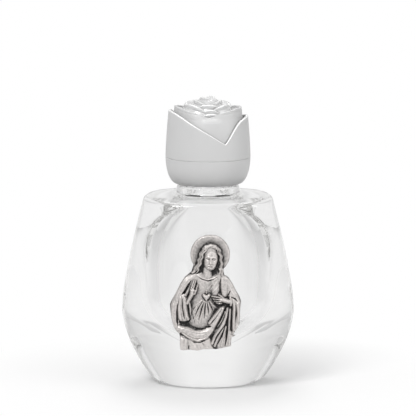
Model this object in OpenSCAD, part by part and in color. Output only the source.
// Holy water bottle: a heavy-walled glass bottle with a screw neck, a rose-shaped
// cap built from four mouldings and a sealing disc, and a cast metal plaque of a
// robed figure held to the front by an adhesive pad.
// Millimetres, +Z up, -Y to the front, origin at the middle of the glass foot.

/* [Glass body] */
// Height of the glass from its foot to the root of the neck
body_h = 61.6; // [56:0.2:70]
// Width across the belly
belly_w = 55.4; // [50:0.2:62]
// Height of the widest point of the belly
belly_z = 25; // [20:0.5:30]
// Width across the shoulder
shoulder_w = 41; // [38:0.2:46]
// Width of the foot
foot_w = 34; // [28:0.2:38]
// Depth from front face to back face
body_d = 36.4; // [34:0.2:42]
// Depth of the foot
foot_d = 28.2; // [26:0.2:32]
// How far the round bowl would stand out past the flat front and back faces at the belly
bowl_over = 1.2; // [0.8:0.1:2]
// Radius of the edge round the foot
foot_edge_r = 2.6; // [1.5:0.1:2.8]
// Radius of the edge round the shoulder
shoulder_r = 1.8; // [1:0.1:2.4]
// Rise of the shoulder from its edge to the neck
shoulder_rise = 1; // [0.4:0.1:1.6]
// Squareness of the plan: 2 is an ellipse and larger is squarer
plan_power = 2.7; // [2.2:0.1:3.4]
// Depth of the hollow under the foot
punt_h = 0.8; // [0.4:0.1:1.2]
// Diameter of the hollow under the foot
punt_d = 20; // [16:0.5:22]

/* [Cavity] */
// Thickness of the glass under the cavity
base_t = 15; // [12:0.5:17]
// Thickness of the side walls at the belly
side_t = 9.7; // [8:0.1:11]
// Thickness of the front and back walls
face_t = 4.8; // [3.5:0.1:6]
// Thickness of the glass above the cavity, beside the neck
roof_t = 2; // [1.8:0.1:3]
// Radius of the edge between the cavity's roof and its front and back faces
inner_edge_r = 1.2; // [0.8:0.1:2]
// Squareness of the cavity's plan at its belly
cavity_plan_power = 2.2; // [2:0.1:2.8]
// Squareness of the cavity's plan under its roof
roof_plan_power = 6; // [4:0.5:7]

/* [Neck] */
// Diameter over the thread
thread_d = 17.7; // [16.5:0.1:17.8]
// Diameter of the neck under the thread
neck_d = 15.6; // [15:0.1:15.8]
// Diameter of the mouth
bore_d = 10.8; // [9:0.1:11.5]
// Diameter of the bead under the cap
bead_d = 20; // [19:0.1:21]
// Height of the bead above the shoulder
bead_h = 2.6; // [2:0.1:3.2]
// Height of the neck above the bead
finish_h = 10.1; // [9.6:0.1:11]
// Pitch of the screw thread
pitch = 3.175; // [3:0.025:3.3]
// Turns of thread on the neck
thread_turns = 1.25; // [1:0.125:1.5]

/* [Cap] */
// Wall of the cup at the seam, from the insert's socket to the outside
cup_wall = 3.2; // [2.8:0.1:4.6]
// Diameter of the cup's lower lip
lip_d = 20.4; // [20:0.1:21]
// Height of the cup from its lip to the seam
cup_h = 8.5; // [8:0.1:9.4]
// Gap between the bead and the cup's lip
lip_gap = 0.5; // [0.3:0.1:0.8]
// Radial clearance between the thread and the screw insert
thread_gap = 0.25; // [0.2:0.05:0.3]
// Wall of the screw insert
insert_wall = 0.9; // [0.8:0.05:1]
// Number of grip ribs round the screw insert
rib_count = 24; // [12:4:32]
// Height of each grip rib above the insert's wall
rib_h = 0.3; // [0.2:0.05:0.4]
// Thickness of the screw insert's closed end
insert_end_t = 1.2; // [0.8:0.1:1.6]
// Thickness of the sealing disc
disc_t = 1; // [0.6:0.1:1.4]
// Clearance between the cap's mouldings
fit_gap = 0.1; // [0.05:0.05:0.15]
// Depth of the spigot that joins the petals to the cup
spigot_h = 2; // [1.5:0.1:2.4]
// Wall of the spigot
spigot_wall = 1.1; // [0.9:0.1:1.2]
// Thickness of the floor between the petals and the screw insert
petal_floor_t = 1.2; // [0.8:0.1:1.5]

/* [Rose] */
// Height of the outer petals' tips above the seam
petal_h = 15.2; // [14:0.2:17]
// Height of the notch between two outer petals above the seam
notch_h = 5.3; // [5:0.1:7]
// How far the outer petals lean in at their tips, on each side
petal_lean = 1; // [0.2:0.1:1.3]
// Thickness of the outer petals at their tips
petal_tip_t = 1; // [0.8:0.1:1.2]
// Height of the bud's top above the seam
bud_h = 19.3; // [18:0.1:21]

/* [Plaque] */
// Height of the plaque
plaque_h = 37.2; // [34:0.2:40]
// Height of the plaque's lower edge above the foot
plaque_z = 13.6; // [12:0.2:16]
// Thickness of the plaque's plain ground
ground_t = 0.8; // [0.6:0.1:1.2]
// Height of the highest relief above the ground
relief_t = 2.1; // [1.6:0.1:2.6]
// Width of the adhesive pad
pad_w = 11; // [8:0.5:12]
// Height of the adhesive pad
pad_h = 17; // [12:0.5:18]
// Thickness of the adhesive pad
pad_t = 0.6; // [0.4:0.1:1]

/* [Hidden] */
$fn = 96;

// Facets round the lofted glass, and rings in each of its stretches
sides = 48;
body_rings = 12;
bowl_rings = 8;
arch_rings = 12;
edge_rings = 4;
roof_rings = 3;
// How quickly the bowl rounds out, how the body tapers, how round the cavity's bowl is, and how soon its arch starts
bowl_power = 1.85;
taper_power = 1.33;
floor_power = 2.2;
arch_power = 0.65;
// Squareness of the bowl's plan at the foot, and where it starts and ends growing into the body's
bowl_plan_power = 2.1;
bowl_plan_start = 0.5 * belly_z;
bowl_plan_end = 1.2 * belly_z;
overlap = 0.5;

// Levels up the bottle
edge_z = body_h - shoulder_rise;
bead_z = body_h + bead_h;
rim_z = bead_z + finish_h;
bore_r = bore_d / 2;
neck_r = neck_d / 2;
thread_r = thread_d / 2;
rim_round = 0.5;
bead_round = 0.8;

// Levels up the cap
lip_z = bead_z + lip_gap;
seam_z = lip_z + cup_h;
disc_z = rim_z;
insert_end_z = disc_z + disc_t;
insert_top_z = insert_end_z + insert_end_t;
floor_z = insert_top_z + fit_gap;
core_z = floor_z + petal_floor_t;
notch_z = seam_z + notch_h;
tip_z = seam_z + petal_h;
bud_z = seam_z + bud_h;

// Radii of the cap's mouldings, worked outwards from the thread
insert_bore_r = thread_r + thread_gap;
insert_r = insert_bore_r + insert_wall;
rib_r = insert_r + rib_h;
cup_bore_r = rib_r + fit_gap;
mouth_r = thread_r + 2 * fit_gap;
seat_t = 0.9;
spigot_bore_r = cup_bore_r + fit_gap;
spigot_r = spigot_bore_r + spigot_wall;
spigot_seat_r = spigot_r + fit_gap;
cap_r = cup_bore_r + cup_wall;
petal_tip_r = cap_r - petal_lean;
// The petals' inside is let into the floor and spigot by this much
wall_bite = 0.4;
petal_bore_r = spigot_r - wall_bite;
core_r = petal_bore_r - fit_gap;
disc_r = insert_bore_r - 2 * fit_gap;

// Thread ridge: half-widths at its root and crest, and how far each end fades
thread_root = 0.9;
thread_crest = 0.4;
thread_fade = 40;
thread_step = 10;
thread_sunk = 0.35;
thread_low_z = bead_z + 3;
// How far the insert's thread rides up towards the flank that pulls the cap down
flank_shift = 0.2;

function signed_power(v, p) = sign(v) * pow(abs(v), p);

// A point at a radius, an angle measured from the front towards +X, and a height
function around(r, a, z) = [r * sin(a), -r * cos(a), z];

// One closed ring of points with a superellipse plan
function plan_ring(half_x, half_y, power, z) = [
    for (i = [0 : sides - 1])
        let (a = 360 * i / sides)
        [half_x * signed_power(cos(a), 2 / power), half_y * signed_power(sin(a), 2 / power), z]
];

function blend(a, b, t) = a + (b - a) * t;

// Share of the way from one value to another, easing in and out
function ease(v, from, to) = let (t = max(0, min(1, (v - from) / (to - from)))) t * t * (3 - 2 * t);

// Half-width of the glass at a height
function body_half_x(z) = z < belly_z
    ? blend(foot_w, belly_w, 1 - pow(1 - z / belly_z, bowl_power)) / 2
    : blend(belly_w, shoulder_w, pow((z - belly_z) / (edge_z - belly_z), taper_power)) / 2;
// Half-depth of the round bowl, and the squareness of its plan, at a height
function bowl_half_y(z) =
    blend(foot_d / 2, body_d / 2 + bowl_over, 1 - pow(max(0, 1 - z / belly_z), bowl_power));
function bowl_plan(z) = blend(bowl_plan_power, plan_power, ease(z, bowl_plan_start, bowl_plan_end));

// Distance from the axis to a superellipse plan in a direction
function plan_reach(a, half_x, half_y, power) =
    pow(pow(abs(cos(a)) / half_x, power) + pow(abs(sin(a)) / half_y, power), -1 / power);

// Ring of the glass at a height, drawn in by an edge's radius: the upright body cut by the bowl
function glass_ring(z, in, at_z) = [
    for (p = plan_ring(body_half_x(z) - in, body_d / 2 - in, plan_power, at_z))
        let (
            bowl_r = plan_reach(atan2(p[1], p[0]), body_half_x(z) - in, bowl_half_y(z) - in, bowl_plan(z)),
            share = min(1, bowl_r / norm([p[0], p[1]]))
        )
        [p[0] * share, p[1] * share, at_z]
];

// A closed solid skinned over rings that each have the same number of points
module skin(rings) {
    count = len(rings[0]);
    last = len(rings) - 1;
    walls = [
        for (k = [0 : last - 1])
            for (i = [0 : count - 1])
                let (a = k * count + i, b = k * count + (i + 1) % count)
                each [[a, a + count, b + count], [a, b + count, b]]
    ];
    bottom = [for (i = [0 : count - 3]) [count - 1, i, i + 1]];
    top = [for (f = bottom) [for (i = [2 : -1 : 0]) last * count + f[i]]];
    polyhedron([for (r = rings) each r], concat(bottom, walls, top), convexity = 6);
}

// Outside of the glass up to the root of the neck, with its foot still to be cut flat
module glass_outside() {
    upright_top = edge_z - shoulder_r;
    foot_rings = [
        for (k = [0 : edge_rings - 1])
            let (a = 90 * k / edge_rings, z = foot_edge_r * (1 - cos(a)), in = foot_edge_r * (1 - sin(a)))
            glass_ring(z, in, k == 0 ? -overlap : z)
    ];
    bowl = [
        for (k = [0 : bowl_rings])
            let (z = blend(foot_edge_r, belly_z, k / bowl_rings))
            glass_ring(z, 0, z)
    ];
    upright = [
        for (k = [1 : body_rings])
            let (z = blend(belly_z, upright_top, k / body_rings))
            glass_ring(z, 0, z)
    ];
    shoulder_edge = [
        for (k = [1 : edge_rings])
            let (a = 90 * k / edge_rings, z = upright_top + shoulder_r * sin(a), in = shoulder_r * (1 - cos(a)))
            glass_ring(z, in, z)
    ];
    in_x = body_half_x(edge_z) - shoulder_r;
    in_y = body_d / 2 - shoulder_r;
    roof = [
        for (k = [1 : roof_rings])
            let (t = k / roof_rings)
            plan_ring(blend(in_x, neck_r, t), blend(in_y, neck_r, t), blend(plan_power, 2, t),
                      edge_z + shoulder_rise * sin(90 * t))
    ];
    skin(concat(foot_rings, bowl, upright, shoulder_edge, roof));
}

// The cavity is widest a little above the belly
cavity_lift = 4;
cavity_belly_z = belly_z + cavity_lift;
cavity_roof_z = body_h - roof_t;
cavity_x = belly_w / 2 - side_t;
cavity_y = body_d / 2 - face_t;
cavity_floor_r = 0.6;

// Inside of the glass below the neck: a round bowl, then an arch between upright faces
module cavity() {
    top_r = bore_r - overlap;
    bowl = [
        for (k = [0 : bowl_rings])
            let (
                a = 90 * k / bowl_rings,
                wide = pow(sin(a), 2 / floor_power),
                z = blend(cavity_belly_z, base_t, pow(cos(a), 2 / floor_power))
            )
            plan_ring(max(cavity_floor_r, cavity_x * wide), max(cavity_floor_r, cavity_y * wide),
                      cavity_plan_power, z)
    ];
    arch = [
        for (k = [1 : arch_rings - 1])
            let (
                a = 90 * k / arch_rings,
                t = 1 - cos(a),
                z = blend(cavity_belly_z, cavity_roof_z, pow(sin(a), arch_power)),
                up = max(0, 1 - (cavity_roof_z - z) / inner_edge_r)
            )
            plan_ring(blend(cavity_x, top_r, t), blend(cavity_y, top_r, 1 - sqrt(1 - up * up)),
                      blend(cavity_plan_power, roof_plan_power, t), z)
    ];
    skin(concat(bowl, arch, [plan_ring(top_r, top_r, 2, cavity_roof_z)]));
}

// Helical ridge: root radius, crest radius (smaller than the root for an inside
// thread), height of the helix at angle zero, angle it starts at, and turns;
// both ends fade into the wall
module thread_ridge(root_r, crest_r, helix_z, from, turns) {
    reach = sign(crest_r - root_r);
    steps = round(360 * turns / thread_step);
    rings = [
        for (k = [0 : steps])
            let (
                run = 360 * turns * k / steps,
                a = from + run,
                fade = min(1, run / thread_fade, (360 * turns - run) / thread_fade),
                r0 = root_r - reach * thread_sunk,
                r1 = blend(root_r - reach * thread_sunk / 2, crest_r, fade),
                z = helix_z + pitch * a / 360,
                section = [[r0, thread_root], [r1, thread_crest], [r1, -thread_crest], [r0, -thread_root]],
                turned = reach > 0 ? section : [for (i = [3 : -1 : 0]) section[i]]
            )
            [for (p = turned) [p[0] * cos(a), p[0] * sin(a), z + p[1]]]
    ];
    skin(rings);
}

// Neck with its bead, rim and thread, standing on the shoulder
module neck() {
    rotate_extrude()
        polygon([
            [0, body_h - shoulder_rise - overlap],
            [bead_d / 2, body_h - shoulder_rise - overlap],
            [bead_d / 2, bead_z - bead_round],
            for (a = [30 : 30 : 90])
                [bead_d / 2 - bead_round * (1 - cos(a)), bead_z - bead_round * (1 - sin(a))],
            [neck_r, bead_z],
            [neck_r, rim_z - rim_round],
            for (a = [30 : 30 : 90])
                [neck_r - rim_round * (1 - cos(a)), rim_z - rim_round * (1 - sin(a))],
            [0, rim_z]
        ]);
    thread_ridge(neck_r, thread_r, thread_low_z, 0, thread_turns);
}

module glass_bottle() {
    punt_r = (punt_d * punt_d / 4 + punt_h * punt_h) / (2 * punt_h);
    color("aliceblue", 0.4)
        difference() {
            union() {
                glass_outside();
                neck();
            }
            cavity();
            translate([0, 0, cavity_roof_z - roof_t])
                cylinder(r = bore_r, h = rim_z - cavity_roof_z + roof_t + overlap);
            translate([-belly_w / 2, -body_d / 2, -2 * overlap])
                cube([belly_w, body_d, 2 * overlap]);
            translate([0, 0, punt_h - punt_r])
                sphere(r = punt_r);
        }
}

// Halo behind the head, in the drawing's units: middle across, middle up, and radius
halo = [0.7, 30.95, 6.25];
// The drawing ends at the top of the halo, and is scaled to the plaque's height
figure_scale = plaque_h / (halo[1] + halo[2]);
relief_rows = 52;
relief_columns = 30;
pad_back_y = -body_d / 2;
plaque_back_y = pad_back_y - pad_t;

// Outline of the robed figure below the halo, as [height, left, right]
outline = [
    [0, -9, 7.4], [4.4, -9.1, 7.6], [5.2, -9.2, 8.8], [7.8, -10.8, 9.5], [11, -11.6, 10.1],
    [14, -11.9, 10.3], [16.4, -11.5, 10.1], [19, -10.2, 8.9], [22.2, -8.4, 7.4],
    [24, -6.2, 6], [25.4, -4.6, 4.9], [26.6, -4, 4.6]
];

// Forms of the relief: start [x, height, radius], end [x, height, radius], how high each end stands
forms = [
    [[0.9, 28.4, 2.3], [0.9, 31.4, 2.5], [1, 0.95]],
    [[-0.6, 33, 1.5], [2.4, 33, 1.5], [0.75, 0.75]],
    [[-1.4, 32, 1.3], [-2.9, 28.4, 1.2], [0.75, 0.7]],
    [[-2.9, 28.4, 1.2], [-4, 25.2, 0.9], [0.7, 0.55]],
    [[3.3, 32, 1.3], [3.8, 28.2, 1.1], [0.75, 0.65]],
    [[3.8, 28.2, 1.1], [4, 24.4, 0.8], [0.65, 0.55]],
    [[0.5, 26, 1.4], [0.4, 24, 1.7], [0.5, 0.55]],
    [[0, 21, 6.4], [0, 11, 7], [0.6, 0.7]],
    [[-3.6, 23.4, 2], [-8.4, 18.8, 2.5], [0.55, 0.65]],
    [[-8.6, 18.8, 2.5], [-9.7, 12.4, 2.1], [0.65, 0.75]],
    [[-9.7, 12.4, 2], [-9.6, 7.6, 1.4], [0.7, 0.5]],
    [[4.4, 23.2, 2.1], [7.2, 19.2, 2.3], [0.55, 0.65]],
    [[7.4, 19.2, 2.3], [8.4, 14, 2], [0.65, 0.65]],
    [[8.8, 14.4, 1.6], [8.6, 6.4, 1.1], [0.65, 0.5]],
    [[-8.2, 17.4, 1.3], [-6.4, 11.2, 1.5], [0.8, 0.95]],
    [[-7, 16, 0.9], [-5, 19.2, 0.9], [0.95, 1]],
    [[-5, 19.2, 1], [-4.4, 22.8, 0.5], [1, 0.85]],
    [[7.4, 15.6, 1.1], [4.2, 16.9, 0.9], [0.95, 1]],
    [[4.2, 17.1, 0.8], [1.6, 17.6, 0.45], [1, 0.85]],
    [[-1.1, 18.3, 0.8], [-0.6, 17.2, 0.5], [1, 1]],
    [[-0.1, 18.3, 0.8], [-0.6, 17.2, 0.5], [1, 1]],
    [[-0.7, 16, 0.6], [-3.6, 11, 0.9], [0.85, 0.8]],
    [[-0.5, 16, 0.6], [-0.6, 10.4, 0.9], [0.9, 0.85]],
    [[-0.2, 16, 0.6], [2.6, 11.8, 0.9], [0.85, 0.8]],
    [[-8.4, 7.4, 1.5], [-2.4, 6.6, 1.5], [0.85, 0.95]],
    [[-2.4, 6.6, 1.5], [2, 9.2, 1.3], [0.95, 0.95]],
    [[2, 9.2, 1.3], [4.8, 13.6, 1], [0.95, 0.85]],
    [[-6.8, 0.6, 2.2], [-6.2, 5, 2.2], [0.6, 0.7]],
    [[-1.6, 0.6, 3.2], [-0.6, 5, 3.2], [0.6, 0.75]],
    [[1.6, 1.4, 1], [5.6, 9.6, 1], [0.75, 0.85]],
    [[4.4, 1.4, 1], [6.4, 8, 1], [0.75, 0.85]],
    [[6.8, 1.6, 0.9], [7, 7, 0.9], [0.6, 0.75]]
];

// Half-chord of the halo at a height, or nothing outside it
function halo_half(v) = sqrt(max(0, pow(halo[2], 2) - pow(v - halo[1], 2)));

// Left (side 1) and right (side 2) edge of the figure at a height
function outline_at(v, side) = v > outline[len(outline) - 1][0] ? halo[0] : lookup(v, [for (o = outline) [o[0], o[side]]]);
function left_edge(v) = min(outline_at(v, 1), halo[0] - halo_half(v));
function right_edge(v) = max(outline_at(v, 2), halo[0] + halo_half(v));

// Height of one form's rounded ridge at a point, as a share of the full relief
function form_height(f, p) =
    let (
        a = [f[0][0], f[0][1]],
        b = [f[1][0], f[1][1]],
        along = (p - a) * (b - a) / ((b - a) * (b - a)),
        t = max(0, min(1, along)),
        r = blend(f[0][2], f[1][2], t),
        d = norm(p - a - t * (b - a))
    )
    d < r ? blend(f[2][0], f[2][1], t) * sqrt(1 - d * d / (r * r)) : 0;
function relief_height(p) = max([for (f = forms) form_height(f, p)]);

// Cast plaque: a flat back and a front that rises over the figure's forms
module plaque() {
    top_cut = 0.05;
    top_v = halo[1] + halo[2] - top_cut;
    rows = [
        for (k = [0 : relief_rows])
            let (v = top_v * k / relief_rows, left = left_edge(v), right = right_edge(v))
            [
                for (c = [0 : relief_columns])
                    let (u = blend(left, right, c / relief_columns), high = k == 0 ? 0 : relief_height([u, v]))
                    [u * figure_scale, plaque_back_y - ground_t - relief_t * high, plaque_z + v * figure_scale],
                [right * figure_scale, plaque_back_y, plaque_z + v * figure_scale],
                [left * figure_scale, plaque_back_y, plaque_z + v * figure_scale]
            ]
    ];
    color("silver")
        skin(rows);
}

// Foam pad between the plaque and the glass, behind the widest part of the figure
pad_middle = [-0.6, 12.5];
module adhesive_pad() {
    color("whitesmoke")
        translate([
            pad_middle[0] * figure_scale - pad_w / 2,
            pad_back_y - pad_t,
            plaque_z + pad_middle[1] * figure_scale - pad_h / 2
        ])
            cube([pad_w, pad_t, pad_h]);
}

// Soft disc that seals the cap against the rim
module sealing_disc() {
    color("white")
        translate([0, 0, disc_z])
            cylinder(r = disc_r, h = disc_t);
}

// Threaded liner of the cap, with grip ribs on its outside
module screw_insert() {
    low_z = lip_z + seat_t;
    ridge_crest_r = neck_r + thread_gap;
    helix_z = thread_low_z - pitch / 2 + flank_shift;
    ridge_from = 360 * (low_z + thread_root + fit_gap - helix_z) / pitch;
    color("gainsboro") {
        difference() {
            translate([0, 0, low_z])
                cylinder(r = insert_r, h = insert_top_z - low_z);
            translate([0, 0, low_z - overlap])
                cylinder(r = insert_bore_r, h = insert_end_z - low_z + overlap);
        }
        thread_ridge(insert_bore_r, ridge_crest_r, helix_z, ridge_from, thread_turns);
        for (i = [0 : rib_count - 1])
            rotate(360 * i / rib_count)
                translate([insert_r - overlap, -rib_h / 2, low_z])
                    cube([overlap + rib_h, rib_h, seam_z - spigot_h - low_z]);
    }
}

// Lower half of the cap, open at the seam to take the insert and the petals
module cap_cup() {
    lip_r = lip_d / 2;
    spigot_seat_z = seam_z - spigot_h - fit_gap;
    round_steps = 10;
    color("lightgray")
        rotate_extrude()
            polygon([
                [mouth_r, lip_z],
                for (k = [0 : round_steps])
                    let (a = 90 * k / round_steps)
                    [lip_r + (cap_r - lip_r) * sin(a), lip_z + cup_h * (1 - cos(a))],
                [spigot_seat_r, seam_z],
                [spigot_seat_r, spigot_seat_z],
                [cup_bore_r, spigot_seat_z],
                [cup_bore_r, lip_z + seat_t],
                [mouth_r, lip_z + seat_t]
            ]);
}

// Outer petals: two wide petals wrap the rose, each rising steeply from a notch to
// its tip and then falling away slowly to the next notch
petal_steps = 72;
petal_rows = 8;
petal_round = 1.5;
notch_turn = 25;
// Edge of the petals as [angle from the front towards +X, share of the rise from notch to tip]
petal_edge = [
    [notch_turn, 0], [31, 0.17], [39, 0.41], [48, 0.61], [57, 0.72], [70, 0.78], [90, 0.83], [105, 0.79],
    [120, 0.74], [150, 0.62], [175, 0.45], [195, 0.22], [208, 0.06], [216, 0.27], [226, 0.57], [240, 0.84], [258, 0.97],
    [275, 1], [290, 0.99], [305, 0.94], [320, 0.83], [345, 0.55], [365, 0.29], [378, 0.1], [notch_turn + 360, 0]
];

// Height of the petals' edge at an angle
function petal_edge_z(a) = blend(notch_z, tip_z, lookup(a < notch_turn ? a + 360 : a, petal_edge));

// Radius of the petals' outside: full at the seam, drawn in a little at the tips
function petal_r(z) = blend(cap_r, petal_tip_r, pow((z - seam_z) / petal_h, petal_round));

// Radius of the petals' inside, which the floor and the spigot are let into
function petal_in_r(z) = blend(petal_bore_r, petal_tip_r - petal_tip_t, (z - seam_z) / petal_h);

module petal_shell() {
    color("lightgray") {
        // Floor and spigot
        rotate_extrude()
            polygon([
                [0, floor_z],
                [spigot_bore_r, floor_z],
                [spigot_bore_r, seam_z - spigot_h],
                [spigot_r, seam_z - spigot_h],
                [spigot_r, core_z],
                [0, core_z]
            ]);
        // Petals round them
        hoop([
            for (k = [0 : petal_steps - 1])
                let (a = 360 * k / petal_steps, top = petal_edge_z(a))
                [
                    for (j = [0 : petal_rows])
                        let (z = blend(seam_z, top, j / petal_rows))
                        around(petal_r(z), a, z),
                    around(petal_in_r(top), a, top),
                    around(petal_in_r(seam_z), a, seam_z)
                ]
        ]);
    }
}

// A closed loop of sections that each have the same number of points
module hoop(sections) {
    count = len(sections[0]);
    total = len(sections);
    faces = [
        for (k = [0 : total - 1])
            for (i = [0 : count - 1])
                let (
                    next = (k + 1) % total,
                    a = k * count + i,
                    b = k * count + (i + 1) % count,
                    c = next * count + i,
                    d = next * count + (i + 1) % count
                )
                each [[a, b, d], [a, d, c]]
    ];
    polyhedron([for (s = sections) each s], faces, convexity = 8);
}

// Petals of the inner rose: angle from the front, crest radius, half-turn it
// covers, tip below the bud's top, and droop of its ends; lengths are shares of core_r
core_petals = [
    [280, 0.91, 72, 0.207, 0.198], [85, 0.91, 66, 0.252, 0.126], [190, 0.91, 60, 0.243, 0.126],
    [7, 0.89, 26, 0.43, 0.085], [6, 0.8, 24, 0.36, 0.13], [5, 0.66, 24, 0.261, 0.07],
    [298, 0.64, 48, 0.155, 0.126], [60, 0.56, 40, 0.18, 0.11],
    [148, 0.65, 50, 0.165, 0.126], [220, 0.65, 50, 0.165, 0.126],
    [3, 0.46, 44, 0.165, 0.054], [70, 0.37, 50, 0.117, 0.063],
    [280, 0.37, 56, 0.108, 0.063], [175, 0.38, 60, 0.105, 0.063],
    [0, 0.14, 180, 0.009, 0], [0, 0.04, 180, 0, 0]
];
core_rings = 22;
core_steps = 72;
// How steeply a petal falls away outside and inside its crest
outside_fall = 1.5;
inside_fall = 1;
crest_half = 0.5;
core_rise = 5;

function turn_between(a, b) = let (d = abs(a - b) % 360) min(d, 360 - d);

// Height of one petal's surface below the bud's top, at a radius and an angle
function petal_drop(p, r, a) =
    let (
        crest_r = p[1] * core_r,
        off = max(0, abs(r - crest_r) - crest_half),
        fall = (r > crest_r ? outside_fall : inside_fall) * off,
        droop = p[4] * pow(turn_between(a, p[0]) / p[2], 2)
    )
    (p[3] + droop) * core_r + fall;
function core_top_z(r, a) = bud_z - min(core_rise, min([for (p = core_petals) petal_drop(p, r, a)]));

// Inner rose: a plug with closely wrapped petals moulded into its top
module rose_core() {
    draft = 0.6;
    top_r = core_r - draft;
    rows = [
        for (k = [core_rings : -1 : 1])
            let (r = top_r * k / core_rings)
            [for (i = [0 : core_steps - 1])
                let (a = 360 * i / core_steps)
                around(r, a, core_top_z(r, a))]
    ];
    foot = [for (i = [0 : core_steps - 1]) around(core_r, 360 * i / core_steps, core_z)];
    color("whitesmoke")
        skin(concat([foot], rows));
}

glass_bottle();
plaque();
adhesive_pad();
sealing_disc();
screw_insert();
cap_cup();
petal_shell();
rose_core();
